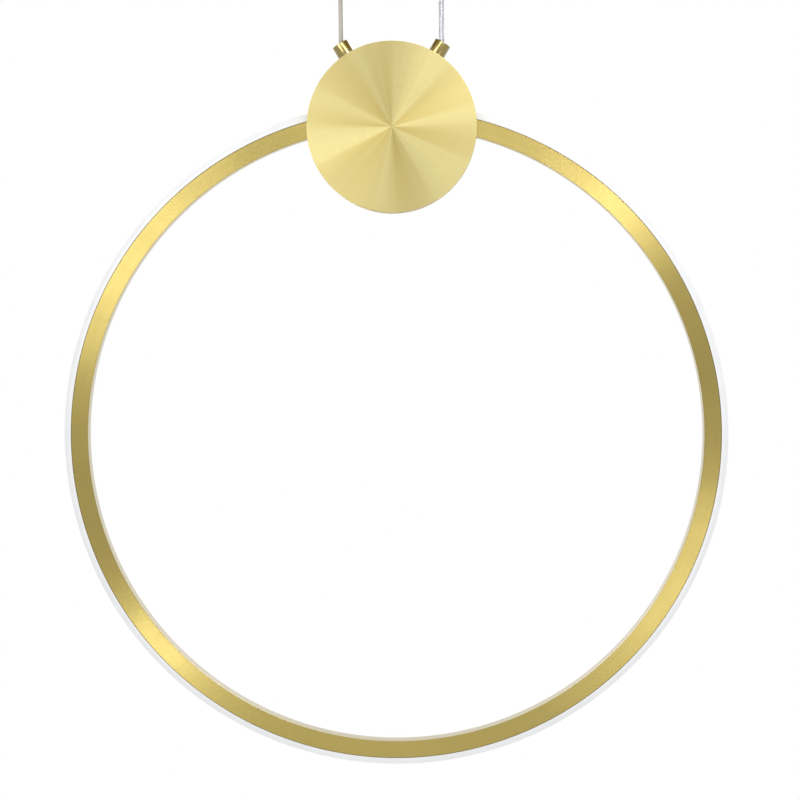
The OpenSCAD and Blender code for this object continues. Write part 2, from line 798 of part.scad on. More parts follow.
module splice_plate() {
    color(steel) facing(ring_z) difference() {
        ring_arc(-splice_half, splice_half)
            translate([ring_ri - slide - splice_t, -half_depth + 1]) square([splice_t, ring_depth - 2]);
        for (x = splice_screw_x) on_ring(turn_at(x, ring_ri), ring_ri - splice_t - 1)
            cylinder(d = small_screw_d + 2 * hole_gap, h = splice_t + 1);
    }
}

module splice_screws() {
    color(steel) facing(ring_z) for (x = splice_screw_x)
        on_ring(turn_at(x, ring_ri), ring_ri - slide - splice_t - fit) rotate([180, 0, 0])
            pan_screw(small_screw_d, splice_t + channel_wall);
}

// Ring channel: a U-section with a lip at each side of its mouth, bent round and closed at the top
module ring_channel() {
    w = channel_wall;
    h = half_depth;
    color(brass) facing(ring_z) difference() {
        rotate_extrude($fn = ring_fn) polygon([
            [ring_ri, edge - h], [ring_ri + edge, -h], [ring_ro - edge, -h], [ring_ro, edge - h],
            [ring_ro, w + lip - h], [ring_ro - lip_h, w + lip - h], [ring_ro - lip_h, w - h],
            [ring_ri + w, w - h], [ring_ri + w, h - w], [ring_ro - lip_h, h - w],
            [ring_ro - lip_h, h - w - lip], [ring_ro, h - w - lip], [ring_ro, h - edge],
            [ring_ro - edge, h], [ring_ri + edge, h], [ring_ri, h - edge]
        ]);
        translate([-saw_cut / 2, ring_ri - 1, -h - 1]) cube([saw_cut, channel_h + 2, ring_depth + 2]);
        for (x = splice_screw_x) on_ring(turn_at(x, ring_ri), ring_ri - 1)
            cylinder(d = small_screw_d, h = channel_wall + 2);
    }
}

strip_start = turn_at(strip_start_x, ring_ri);

module led_strip() {
    color(white) facing(ring_z) ring_arc(strip_start, 360 - strip_start)
        translate([strip_r, -strip_w / 2]) square([strip_t, strip_w]);
}

// LEDs spread evenly from one end of the strip to the other
module leds() {
    led = [2.8, 3.5, 0.8];
    start = strip_start + 1;
    count = floor((360 - 2 * start) * PI * strip_r / 180 / led_pitch);
    color(amber) facing(ring_z) for (k = [0 : count])
        on_ring(start + k * (360 - 2 * start) / count, strip_r + strip_t + 0.02)
            translate([-led[0] / 2, -led[1] / 2, 0]) cube(led);
}

// Diffuser: an arched cover whose feet hook under the channel's lips. It ends inside the drum
module diffuser() {
    foot = half_depth - channel_wall - slide;
    neck = foot - lip;
    dome = half_depth - 0.3;
    foot_r = ring_ro - lip_h - slide;
    tuck = meet(ring_ro, inner_r - 7);
    steps = 24;
    outer = [for (k = [0 : steps])
        [ring_ro + slide + (diffuser_rise - slide) * sin(180 * k / steps), -dome * cos(180 * k / steps)]];
    hollow = neck - diffuser_wall + lip;
    inner = [for (k = [steps : -1 : 0])
        [ring_ro + slide + (diffuser_rise - slide - diffuser_wall) * sin(180 * k / steps), -hollow * cos(180 * k / steps)]];
    color(opal) facing(ring_z) ring_arc(tuck, 360 - tuck) polygon(concat(
        [[foot_r - 2.5, -hollow], [foot_r - 2.5, 0.6 - foot], [foot_r - 1.9, -foot], [foot_r, -foot], [foot_r, -neck],
            [ring_ro + slide, -neck]],
        outer,
        [[ring_ro + slide, neck], [foot_r, neck], [foot_r, foot], [foot_r - 1.9, foot], [foot_r - 2.5, foot - 0.6],
            [foot_r - 2.5, hollow]],
        inner
    ));
}

ceiling_plate();
canopy_cup();
canopy_screws();
left_canopy_grip();
right_canopy_grip();
canopy_nipples();
canopy_nuts();
canopy_collets();
upper_cord_stop();
left_cord_top();
right_cord_top();
driver();
terminal_block();
terminal_screws();
plate_screws();
earth_screw();
mains_leads();
earth_lead();
left_cord_neck();
right_cord_neck();
left_cord();
right_cord();
left_cord_tail();
right_cord_tail();
left_grip();
right_grip();
grip_nipples();
grip_nuts();
grip_collets();
lower_cord_stop();
left_cord_end();
right_cord_end();
connector();
connector_screws();
led_leads();
drum_face();
drum_shell();
pillars();
rear_screws();
ring_saddles();
saddle_straps();
strap_screws();
saddle_screws();
splice_plate();
splice_screws();
ring_channel();
led_strip();
leds();
diffuser();
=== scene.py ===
"""Ring pendant light: the finished look of the lamp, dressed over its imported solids.
Metres, +Z up, front towards -Y. The sections follow the lamp from the ceiling down."""
import math

import bmesh
import bpy
from mathutils import Matrix, Vector


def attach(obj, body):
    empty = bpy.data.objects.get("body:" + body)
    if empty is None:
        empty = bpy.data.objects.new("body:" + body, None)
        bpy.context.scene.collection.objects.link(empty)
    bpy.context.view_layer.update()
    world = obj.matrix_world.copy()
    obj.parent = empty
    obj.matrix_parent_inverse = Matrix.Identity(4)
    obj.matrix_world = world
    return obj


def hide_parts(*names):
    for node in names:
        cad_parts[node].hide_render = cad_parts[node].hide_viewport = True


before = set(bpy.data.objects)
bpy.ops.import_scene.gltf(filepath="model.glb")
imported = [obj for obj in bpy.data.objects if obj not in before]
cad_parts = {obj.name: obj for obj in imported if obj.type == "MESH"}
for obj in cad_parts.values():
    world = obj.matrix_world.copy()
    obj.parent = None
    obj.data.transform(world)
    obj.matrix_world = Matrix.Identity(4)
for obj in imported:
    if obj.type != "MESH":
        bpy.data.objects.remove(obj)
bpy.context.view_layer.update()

mm = 0.001


# Picture: the camera stands a little right of the lamp's middle and a little above the ring's,
# looks almost level, and takes in the ring, the drum and the first centimetres of the cords.
camera_place = Vector((40, -1680, -300)) * mm
camera_turn = (1.21, -3.64, -0.58)  # degrees to the left, up, and about the line of sight
camera_lens = 83.94

bpy.context.scene.view_settings.view_transform = "Standard"
camera = bpy.data.objects.new("camera", bpy.data.cameras.new("camera"))
bpy.context.scene.collection.objects.link(camera)
yaw, pitch, roll = (math.radians(a) for a in camera_turn)
camera.matrix_world = (
    Matrix.Translation(camera_place)
    @ Matrix.Rotation(yaw, 4, "Z")
    @ Matrix.Rotation(math.pi / 2 + pitch, 4, "X")
    @ Matrix.Rotation(roll, 4, "Z")
)
camera.data.lens = camera_lens
camera.data.sensor_width = 36
camera.data.clip_start = 0.01
camera.data.clip_end = 60
bpy.context.scene.camera = camera


# Ceiling plate: a stamped steel disc with two screw slots and two bent lugs, zinc plated after
# stamping. The zinc has a cool, faintly cloudy grain and dulls where it has been handled.
def add(tree, kind, inputs=None, **settings):
    """Adds a node, and gives its inputs plain values or links from other nodes' sockets."""
    made = tree.nodes.new(kind)
    for name, value in settings.items():
        setattr(made, name, value)
    for name, value in (inputs or {}).items():
        if isinstance(value, bpy.types.NodeSocket):
            tree.links.new(value, made.inputs[name])
        else:
            made.inputs[name].default_value = value
    return made


def calc(tree, operation, first, second=0.0):
    """The result of a Math node."""
    return add(tree, "ShaderNodeMath", {0: first, 1: second}, operation=operation).outputs[0]


def colour(red, green, blue):
    """A colour as it is seen on a screen, 0 to 255, turned into the light that a shader takes."""
    def light(c):
        c = c / 255
        return c / 12.92 if c <= 0.04045 else ((c + 0.055) / 1.055) ** 2.4
    return (light(red), light(green), light(blue), 1.0)


def finish(name, **plain):
    """A new material: its tree, its shader with plain values, and the point on the object."""
    made = bpy.data.materials.new(name)
    made.use_nodes = True
    tree = made.node_tree
    shader = tree.nodes["Principled BSDF"]
    for socket, value in plain.items():
        shader.inputs[socket.replace("_", " ")].default_value = value
    point = add(tree, "ShaderNodeTexCoord").outputs["Object"]
    return made, tree, shader, point


def ramp(tree, value, low, high, from_low=0.0, from_high=1.0):
    """Moves a value from one span to another."""
    spread = add(tree, "ShaderNodeMapRange", {
        "Value": value, "From Min": from_low, "From Max": from_high, "To Min": low, "To Max": high})
    return spread.outputs["Result"]


def blend_colours(tree, share, one, other):
    """From one colour to the other by a share between 0 and 1."""
    mixed = add(tree, "ShaderNodeMix", {0: share, 6: one, 7: other}, data_type="RGBA")
    return mixed.outputs[2]


def two_tones(tree, grain, dark, light, spread=0.2):
    """Two colours blended by a noise, over the middle of its span."""
    return blend_colours(tree, ramp(tree, grain, 0, 1, 0.5 - spread, 0.5 + spread), dark, light)


def noise(tree, point, scale, detail=3.0, roughness=0.55):
    """Soft noise between 0 and 1; the scale is in features per metre."""
    made = add(tree, "ShaderNodeTexNoise", {
        "Vector": point, "Scale": scale, "Detail": detail, "Roughness": roughness})
    return made.outputs["Fac"]


def facing_up(tree):
    """The upward part of the surface's normal, from -1 to 1."""
    normal = add(tree, "ShaderNodeNewGeometry").outputs["Normal"]
    return add(tree, "ShaderNodeSeparateXYZ", {0: normal}).outputs["Z"]


def raise_surface(tree, shader, height, distance, strength=1.0):
    """Bump on the shader's normal; the distance is the real height in metres."""
    bump = add(tree, "ShaderNodeBump", {"Height": height, "Distance": distance, "Strength": strength})
    tree.links.new(bump.outputs["Normal"], shader.inputs["Normal"])


def new_group(name, inputs, outputs):
    """A shader group that takes a point and plain values, and puts out values. Returns the group,
    the sockets of what it takes and the sockets of what it puts out."""
    group = bpy.data.node_groups.new(name, "ShaderNodeTree")
    group.interface.new_socket(name="Point", in_out="INPUT", socket_type="NodeSocketVector")
    for label, value in inputs.items():
        socket = group.interface.new_socket(name=label, in_out="INPUT", socket_type="NodeSocketFloat")
        socket.default_value = value
    for label in outputs:
        group.interface.new_socket(name=label, in_out="OUTPUT", socket_type="NodeSocketFloat")
    return group, group.nodes.new("NodeGroupInput").outputs, group.nodes.new("NodeGroupOutput").inputs


# Handling marks and settled dust, on everything that a fitter has touched
handling, taken, given = new_group(
    "Handling and dust", {"Smudge size": 0.03, "Dust": 0.3}, ["Smudge", "Dust"])
per_metre = calc(handling, "DIVIDE", 1.0, taken["Smudge size"])
patches = noise(handling, taken["Point"], per_metre, 4.0, 0.6)
handling.links.new(ramp(handling, patches, 0, 1, 0.42, 0.72), given["Smudge"])
level_share = ramp(handling, facing_up(handling), 0, 1, 0.6, 1.0)
specks = ramp(handling, noise(handling, taken["Point"], 900.0, 2.0), 0, 1, 0.45, 0.65)
lying = calc(handling, "MULTIPLY", level_share, specks)
handling.links.new(calc(handling, "MULTIPLY", lying, taken["Dust"]), given["Dust"])


def handled(tree, point, size, dust):
    """Places the handling group; returns its smudges and its dust."""
    marks = add(tree, "ShaderNodeGroup", {
        "Point": point, "Smudge size": size, "Dust": dust}, node_tree=handling)
    return marks.outputs["Smudge"], marks.outputs["Dust"]


def plated_steel(name, light, dark, grain):
    """Zinc or nickel on steel: a cloudy grain, smudges that dull it, and a little dust on top."""
    made, tree, shader, point = finish(name, Metallic=1.0)
    cloud = noise(tree, point, grain, 5.0, 0.65)
    smudge, lying = handled(tree, point, 0.02, 0.35)
    zinc = two_tones(tree, cloud, dark, light, spread=0.15)
    tree.links.new(blend_colours(tree, lying, zinc, colour(196, 192, 184)), shader.inputs["Base Color"])
    tree.links.new(ramp(tree, smudge, 0.28, 0.46), shader.inputs["Roughness"])
    raise_surface(tree, shader, cloud, 0.03 * mm)
    return made


def dress(material, *names):
    """Gives CAD nodes that keep their own shape a material."""
    for name in names:
        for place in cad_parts[name].material_slots:
            place.material = material


zinc_plate = plated_steel("zinc plated plate", colour(205, 208, 212), colour(168, 172, 178), 420.0)
dress(zinc_plate, "ceiling_plate")


# Driver and terminals: a moulded case and a nylon terminal block on the plate, wired with PVC
# leads, held by zinc screws. The mouldings have a fine spark-eroded grain and soft sheen.
def moulded(name, tint, shade, grain_size, dust):
    """Moulded plastic with a fine eroded grain and a slight drift of colour."""
    made, tree, shader, point = finish(name, Roughness=0.45)
    smudge, lying = handled(tree, point, 0.015, dust)
    body = two_tones(tree, noise(tree, point, 60.0, 2.0), shade, tint)
    tree.links.new(blend_colours(tree, lying, body, colour(150, 146, 138)), shader.inputs["Base Color"])
    tree.links.new(ramp(tree, smudge, 0.38, 0.55), shader.inputs["Roughness"])
    raise_surface(tree, shader, noise(tree, point, 1 / grain_size, 2.0, 0.7), 0.04 * mm)
    return made


def pvc_lead(name, tint, shade, stripe=None):
    """Soft PVC over strands: faint lengthwise ripple, and an optional lighter stripe underneath."""
    made, tree, shader, point = finish(name, Roughness=0.36, Specular_IOR_Level=0.45)
    ripple = noise(tree, point, 700.0, 2.0)
    body = two_tones(tree, ripple, shade, tint)
    if stripe:
        body = blend_colours(tree, ramp(tree, facing_up(tree), 1, 0, -0.15, -0.05), body, stripe)
    tree.links.new(body, shader.inputs["Base Color"])
    raise_surface(tree, shader, ripple, 0.03 * mm)
    return made


driver_case = moulded("driver case", colour(232, 232, 226), colour(220, 219, 212), 0.6 * mm, 0.5)
dress(driver_case, "driver")
white_nylon = moulded("white nylon", colour(238, 236, 228), colour(226, 223, 213), 0.4 * mm, 0.2)
dress(white_nylon, "terminal_block", "connector", "canopy_collets", "grip_collets")
black_pvc = pvc_lead("black lead", colour(44, 44, 47), colour(34, 34, 36))
dress(black_pvc, "mains_leads", "led_leads")
earth_pvc = pvc_lead("earth lead", colour(86, 150, 62), colour(70, 132, 50), colour(222, 196, 60))
dress(earth_pvc, "earth_lead")
zinc_screw = plated_steel("zinc screw", colour(196, 198, 204), colour(158, 160, 168), 1500.0)
dress(zinc_screw, "plate_screws", "strap_screws", "splice_screws")


# Canopy: a cup spun from brass sheet, brushed on the lathe and lacquered, with a rounded lower
# edge. Two domed brass screws through its side hold it to the plate's lugs.
canopy_r = 65 * mm
canopy_h = 28 * mm
canopy_wall = 1.2 * mm
canopy_round = 5 * mm
canopy_lip = 0.3 * mm
fillet_steps = 4


def soften(section):
    """Rounds a section's corners. Each corner is (radius, height, rounding); returns the points
    and, for each, 1 on a rounded edge and 0 elsewhere."""
    points = []
    edges = []
    for i, (r, h, rounding) in enumerate(section):
        here = Vector((r, h))
        if rounding <= 0:
            points.append(here)
            edges.append(0.0)
            continue
        before = Vector(section[i - 1][:2])
        after = Vector(section[(i + 1) % len(section)][:2])
        start = here + (before - here).normalized() * rounding
        end = here + (after - here).normalized() * rounding
        for k in range(fillet_steps + 1):
            s = k / fillet_steps
            points.append((1 - s) ** 2 * start + 2 * s * (1 - s) * here + s * s * end)
            edges.append(1.0)
    return points, edges


def turned_piece(name, section, place, material, steps=192, bored=False):
    """A lathe-turned solid about its own Z axis. A bored section is a closed loop off the axis;
    any other starts and ends on the axis. The map 'wrap' runs round the piece and along its section."""
    points, edges = soften(section)
    shape = bmesh.new()
    wrap = shape.loops.layers.uv.new("wrap")
    edge = shape.verts.layers.float.new("edge")
    rows = []
    for point, edge_wear_and_shade in zip(points, edges):
        count = 1 if point.x < 1e-9 else steps
        row = []
        for k in range(count):
            a = 2 * math.pi * k / steps
            vert = shape.verts.new((point.x * math.cos(a), point.x * math.sin(a), point.y))
            vert[edge] = edge_wear_and_shade
            row.append(vert)
        rows.append(row)
    along = [0.0]
    for one, two in zip(points, points[1:] + points[:1]):
        along.append(along[-1] + (two - one).length)
    last = len(rows) if bored else len(rows) - 1
    for j in range(last):
        low, high = rows[j], rows[(j + 1) % len(rows)]
        for k in range(steps):
            n = (k + 1) % steps
            corners = [
                (low[k % len(low)], k, along[j]), (low[n % len(low)], k + 1, along[j]),
                (high[n % len(high)], k + 1, along[j + 1]), (high[k % len(high)], k, along[j + 1])]
            if len(low) == 1:
                corners.pop(1)
            if len(high) == 1:
                corners.pop(-1)
            face = shape.faces.new([c[0] for c in corners])
            for loop, (_, turn, length) in zip(face.loops, corners):
                loop[wrap].uv = (turn / steps, length)
    shape.transform(place)
    bmesh.ops.recalc_face_normals(shape, faces=shape.faces)
    return as_piece(name, shape, material)


def as_piece(name, shape, material, crease=32):
    """Turns a bmesh into a smooth-shaded object with creased edges and one material."""
    mesh = bpy.data.meshes.new(name)
    shape.to_mesh(mesh)
    shape.free()
    mesh.materials.append(material)
    return smooth_object(name, mesh, crease)


def smooth_object(name, mesh, crease):
    """Puts a mesh in the scene, smooth but for the edges that turn by more than the crease."""
    for face in mesh.polygons:
        face.use_smooth = True
    mesh.set_sharp_from_angle(angle=math.radians(crease))
    piece = bpy.data.objects.new(name, mesh)
    bpy.context.scene.collection.objects.link(piece)
    return piece


# Turning lines and painted rays: fine grooves and broader bands that run round an axis, as a lathe or a
# brushing wheel leaves them, and faint rays and broad wedges by angle alone, a painted reflection of lighter
# and darker sectors
turning_and_painted_rays, taken, given = new_group("Turning lines and painted rays", {"Lines": 3000.0}, ["Groove", "Band", "Ray", "Wedge"])
x, y, z = (add(turning_and_painted_rays, "ShaderNodeSeparateXYZ", {0: taken["Point"]}).outputs[k] for k in range(3))
flat = add(turning_and_painted_rays, "ShaderNodeCombineXYZ", {"X": x, "Y": y}).outputs[0]
radius = add(turning_and_painted_rays, "ShaderNodeVectorMath", {0: flat}, operation="LENGTH").outputs["Value"]
round_it = add(turning_and_painted_rays, "ShaderNodeVectorMath", {0: flat}, operation="NORMALIZE").outputs["Vector"]
along_section = calc(turning_and_painted_rays, "ADD", radius, z)
# Ray and Wedge vary with the angle only: they carry the painted reflection streaks, not grain
for label, share, drift, detail in (
        ("Groove", 1.0, 0.5, 4.0), ("Band", 0.35, 0.9, 2.0),
        ("Ray", 0.0, 6.0, 4.0), ("Wedge", 0.0, 2.0, 1.5)):
    across = calc(turning_and_painted_rays, "MULTIPLY", along_section, calc(turning_and_painted_rays, "MULTIPLY", taken["Lines"], share))
    turned = add(turning_and_painted_rays, "ShaderNodeVectorMath", {
        0: round_it, 1: (drift, drift, drift)}, operation="MULTIPLY").outputs[0]
    spot = add(turning_and_painted_rays, "ShaderNodeSeparateXYZ", {0: turned}).outputs
    where = add(turning_and_painted_rays, "ShaderNodeCombineXYZ", {"X": across, "Y": spot["X"], "Z": spot["Y"]}).outputs[0]
    turning_and_painted_rays.links.new(noise(turning_and_painted_rays, where, 1.0, detail, 0.6), given[label])


def from_place(tree, point, place):
    """The point as it lies to a piece's own axes, which the place matrix set and turned."""
    seat = add(tree, "ShaderNodeMapping", {
        "Vector": point, "Location": place.to_translation(), "Rotation": place.to_euler()},
        vector_type="TEXTURE")
    return seat.outputs[0]


def brushed_brass(
        name, light, dark, place, lines, roughness, stretch, depth, lacquer=0.25, dust=0.2,
        edge_wear_and_shade=None, rubbed=0.0, wedge=None, mapped=True):
    """Brass brushed round an axis and lacquered. The place is the matrix that set the piece: the
    lines run round its Z axis. Rounded edges take the edge colour (wear on the ring, a painted
    shade on the grip caps) and are rougher by what is rubbed. Painted rays, and where given a painted
    shade colour over some sectors as wedges, paint a reflection pattern into the colour. A piece
    without the map 'wrap' takes its brushing direction from its own middle, round Y."""
    made, tree, shader, point = finish(
        name, Metallic=1.0, Anisotropic=stretch, Anisotropic_Rotation=0.25, Coat_Weight=lacquer,
        Coat_Roughness=0.12)
    grain = add(tree, "ShaderNodeGroup", {
        "Point": from_place(tree, point, place), "Lines": lines}, node_tree=turning_and_painted_rays).outputs
    smudge, lying = handled(tree, point, 0.05, dust)
    grain_and_painted_rays = 0.0
    # Grooves and bands are grain; the Ray share is a painted reflection of lighter and darker streaks
    for label, share, spread in (("Groove", 0.3, 0.2), ("Band", 0.4, 0.2), ("Ray", 0.3, 0.15)):
        grain_and_painted_rays = calc(tree, "ADD", grain_and_painted_rays, ramp(tree, grain[label], 0, share, 0.5 - spread, 0.5 + spread))
    metal = blend_colours(tree, grain_and_painted_rays, dark, light)
    # painted shade: darker wedges of a painted reflection pattern
    if wedge:
        metal = blend_colours(tree, ramp(tree, grain["Wedge"], 0, 1, 0.44, 0.58), metal, wedge)
    edge = add(tree, "ShaderNodeAttribute", attribute_name="edge").outputs["Fac"]
    metal = blend_colours(tree, ramp(tree, edge, 0, 0.6), metal, edge_wear_and_shade or light)
    tree.links.new(blend_colours(tree, lying, metal, colour(200, 192, 176)), shader.inputs["Base Color"])
    rough = ramp(tree, smudge, roughness, roughness + 0.04)
    rough = calc(tree, "ADD", rough, ramp(tree, grain["Ray"], 0.02, -0.02, 0.35, 0.65))
    rough = calc(tree, "ADD", rough, ramp(tree, edge, 0, rubbed))
    tree.links.new(rough, shader.inputs["Roughness"])
    raise_surface(tree, shader, grain["Groove"], depth, 0.6)
    if mapped:
        round_axis = add(tree, "ShaderNodeTangent", direction_type="UV_MAP", uv_map="wrap")
    else:
        round_axis = add(tree, "ShaderNodeTangent", direction_type="RADIAL", axis="Y")
    tree.links.new(round_axis.outputs[0], shader.inputs["Tangent"])
    return made


at_ceiling = Matrix.Identity(4)
canopy_brass = brushed_brass(
    "canopy brass", colour(214, 196, 128), colour(186, 166, 100), at_ceiling,
    lines=2600.0, roughness=0.33, stretch=0.75, depth=0.02 * mm, dust=0.35)
canopy_inner_r = canopy_r - canopy_wall
canopy_cup = turned_piece("canopy", [
    (0, -canopy_h, 0), (canopy_r, -canopy_h, canopy_round), (canopy_r, 0, canopy_lip),
    (canopy_inner_r, 0, canopy_lip),
    (canopy_inner_r, canopy_wall - canopy_h, canopy_round - canopy_wall),
    (0, canopy_wall - canopy_h, 0),
], at_ceiling, canopy_brass)
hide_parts("canopy_cup")
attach(canopy_cup, "canopy")


def slotted(shape, width, depth, top):
    """Cuts a screwdriver slot across the head of a screw that is drawn upwards."""
    longer_than_head = 50 * mm
    cutter = bmesh.new()
    slot_size = Matrix.Diagonal((longer_than_head, width, 2 * depth, 1))
    bmesh.ops.create_cube(cutter, size=1.0, matrix=Matrix.Translation((0, 0, top)) @ slot_size)
    for name, made in (("screw blank", shape), ("slot", cutter)):
        mesh = bpy.data.meshes.new(name)
        made.to_mesh(mesh)
        bpy.context.scene.collection.objects.link(bpy.data.objects.new(name, mesh))
        made.free()
    blank, slot = bpy.data.objects["screw blank"], bpy.data.objects["slot"]
    cut = blank.modifiers.new("slot", "BOOLEAN")
    cut.operation = "DIFFERENCE"
    cut.solver = "EXACT"
    cut.object = slot
    screw = bpy.data.meshes.new_from_object(blank.evaluated_get(bpy.context.evaluated_depsgraph_get()))
    for made in (blank, slot):
        bpy.data.objects.remove(made)
    return screw


def screw_head(diameter, section, slot_depth, steps=32):
    """One brass screw, head up, with its slot. The section is of the head and the shank."""
    points, _ = soften(section)
    shape = bmesh.new()
    verts = [shape.verts.new((p.x, 0, p.y)) for p in points]
    outline = verts + [shape.edges.new(pair) for pair in zip(verts, verts[1:])]
    bmesh.ops.spin(
        shape, geom=outline, cent=(0, 0, 0), axis=(0, 0, 1), angle=2 * math.pi, steps=steps, use_merge=True)
    bmesh.ops.remove_doubles(shape, verts=shape.verts, dist=0.005 * mm)
    bmesh.ops.recalc_face_normals(shape, faces=shape.faces)
    return slotted(shape, 0.3 * diameter, slot_depth, max(p.y for p in points))


def new_tree(name, **inputs):
    """A Geometry Nodes tree with named inputs after its geometry. Returns the tree and the sockets
    of what it takes."""
    tree = bpy.data.node_groups.new(name, "GeometryNodeTree")
    for label, kind in {"Geometry": "Geometry", **inputs}.items():
        tree.interface.new_socket(name=label, in_out="INPUT", socket_type="NodeSocket" + kind)
    tree.interface.new_socket(name="Geometry", in_out="OUTPUT", socket_type="NodeSocketGeometry")
    return tree, tree.nodes.new("NodeGroupInput").outputs


def end_tree(tree, geometry, material):
    """Ends a tree with real geometry that wears its material."""
    solid = add(tree, "GeometryNodeRealizeInstances", {"Geometry": geometry}).outputs[0]
    dressed = add(tree, "GeometryNodeSetMaterial", {"Geometry": solid, "Material": material}).outputs[0]
    tree.links.new(dressed, tree.nodes.new("NodeGroupOutput").inputs[0])


# Geometry Nodes tree that sets one small part, such as a screw, on each of its places
setting, taken = new_tree(
    "Small parts on their places", Pattern="Object", Turn="Float", Seed="Int", Material="Material")
axis = add(setting, "GeometryNodeInputNamedAttribute", {"Name": "axis"}, data_type="FLOAT_VECTOR").outputs[0]
facing = add(setting, "FunctionNodeAlignRotationToVector", {"Vector": axis}, axis="Z").outputs[0]
any_turn = add(setting, "FunctionNodeRandomValue", {
    2: 0.0, 3: taken["Turn"], "Seed": taken["Seed"]}).outputs[1]
own_turn = add(setting, "FunctionNodeAxisAngleToRotation", {"Axis": (0, 0, 1), "Angle": any_turn}).outputs[0]
facing = add(setting, "FunctionNodeRotateRotation", {0: facing, 1: own_turn}, rotation_space="LOCAL")
one_part = add(setting, "GeometryNodeObjectInfo", {"Object": taken["Pattern"]}).outputs["Geometry"]
placed = add(setting, "GeometryNodeInstanceOnPoints", {
    "Points": taken["Geometry"], "Instance": one_part, "Rotation": facing.outputs[0]}).outputs[0]
end_tree(setting, placed, taken["Material"])


def evaluated(name, blank, tree, values, crease=32):
    """Runs a Geometry Nodes tree on a blank object and keeps the result as a plain mesh."""
    run = blank.modifiers.new("nodes", "NODES")
    run.node_group = tree
    for socket in tree.interface.items_tree:
        if socket.in_out == "INPUT" and socket.name in values:
            run[socket.identifier] = values[socket.name]
    mesh = bpy.data.meshes.new_from_object(blank.evaluated_get(bpy.context.evaluated_depsgraph_get()))
    bpy.data.objects.remove(blank)
    mesh.name = name
    return smooth_object(name, mesh, crease)


def set_out(name, pattern, places, material, seed=0, turn=math.pi):
    """Parts of one kind: each place is a point and the way that its top faces. Each part is turned
    about its own axis by up to the given angle, as screws are when they are driven home."""
    spots = bpy.data.meshes.new(name + " places")
    spots.from_pydata([place for place, _ in places], [], [])
    ways = spots.attributes.new("axis", "FLOAT_VECTOR", "POINT")
    for i, (_, axis_of) in enumerate(places):
        ways.data[i].vector = axis_of
    blank = bpy.data.objects.new(name + " places", spots)
    one = bpy.data.objects.new(name + " pattern", pattern)
    for made in (blank, one):
        bpy.context.scene.collection.objects.link(made)
    values = {"Pattern": one, "Turn": turn, "Seed": seed, "Material": material}
    piece = evaluated(name, blank, setting, values)
    bpy.data.objects.remove(one)
    return piece


def turned_metal(name, light, dark, roughness):
    """Small turned parts: fine bright machining marks in every direction."""
    made, tree, shader, point = finish(name, Metallic=1.0, Coat_Weight=0.15)
    marks = noise(tree, point, 2500.0, 3.0)
    metal = two_tones(tree, marks, dark, light)
    smudge, lying = handled(tree, point, 0.01, 0.3)
    tree.links.new(blend_colours(tree, lying, metal, colour(200, 192, 176)), shader.inputs["Base Color"])
    tree.links.new(ramp(tree, smudge, roughness, roughness + 0.12), shader.inputs["Roughness"])
    raise_surface(tree, shader, marks, 0.01 * mm)
    return made


screw_brass = turned_metal("screw brass", colour(200, 184, 118), colour(178, 161, 94), 0.24)
dress(screw_brass, "terminal_screws", "earth_screw", "connector_screws")
screw_d = 4 * mm
shank_r = 1.95 * mm
head_r = 3.8 * mm
head_rim = 1.2 * mm
crown_r = 2.9 * mm
crown_h = 2.35 * mm
head_h = 2.4 * mm
slot_depth = 1.0 * mm
side_screw_l = 7.2 * mm
lug_hole_z = -9 * mm
domed = screw_head(screw_d, [
    (0, -side_screw_l, 0), (shank_r, -side_screw_l, 0), (shank_r, 0, 0), (head_r, 0, 0),
    (head_r, head_rim, 0.3 * mm), (crown_r, crown_h, 0.7 * mm), (0, head_h, 0),
], slot_depth)
side_places = [(Vector((0, side * canopy_r, lug_hole_z)), Vector((0, side, 0))) for side in (-1, 1)]
canopy_screws = set_out("canopy_side_screws", domed, side_places, screw_brass, seed=3)
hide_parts("canopy_screws")
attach(canopy_screws, "canopy")


# Cord grips: short brass caps turned from bar, two under the canopy and two on the drum, each
# with a flared mouth for its cord. They are screwed on steel nipples with a nut and a nylon collet.
grip_r = 7.75 * mm
mouth_r = 5 * mm
mouth_depth = 3 * mm
cord_x = 44.935 * mm
drum_z = -163.327 * mm
grip_lean = math.radians(31.5)
canopy_grip_l = 10 * mm
drum_grip_l = 12.9 * mm
grip_seat_r = 75.1 * mm


def grip_cap(name, place, length, bore, body):
    """One cap, drawn upwards from its seat, lacquered, with a painted shade that darkens its rounded edges.
    """
    brass = brushed_brass(
        name.replace("_", " ") + " brass", colour(158, 142, 76), colour(142, 126, 64), place,
        lines=5200.0, roughness=0.18, stretch=0.0, depth=0.001 * mm, lacquer=0.9, dust=0.1,
        # painted shade: the rounded edges of each cap are darker
        edge_wear_and_shade=colour(132, 114, 62))
    cap = turned_piece(name, [
        (bore, 0, 0), (grip_r, 0, 0.25 * mm), (grip_r, length, 0.45 * mm), (mouth_r, length, 0.25 * mm),
        (bore, length - mouth_depth, 0),
    ], place, brass, steps=96, bored=True)
    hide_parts(name.replace("_cap", ""))
    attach(cap, body)


for side, label, bore in ((-1, "left", 2.25 * mm), (1, "right", 2.75 * mm)):
    hung = Matrix.Translation((side * cord_x, 0, -canopy_h)) @ Matrix.Rotation(math.pi, 4, "X")
    grip_cap(label + "_canopy_grip_cap", hung, canopy_grip_l, bore, "canopy")
    leaned = Matrix.Translation((0, 0, drum_z)) @ Matrix.Rotation(side * grip_lean, 4, "Y")
    seated = leaned @ Matrix.Translation((0, 0, grip_seat_r))
    grip_cap(label + "_grip_cap", seated, drum_grip_l, bore, "pendant")

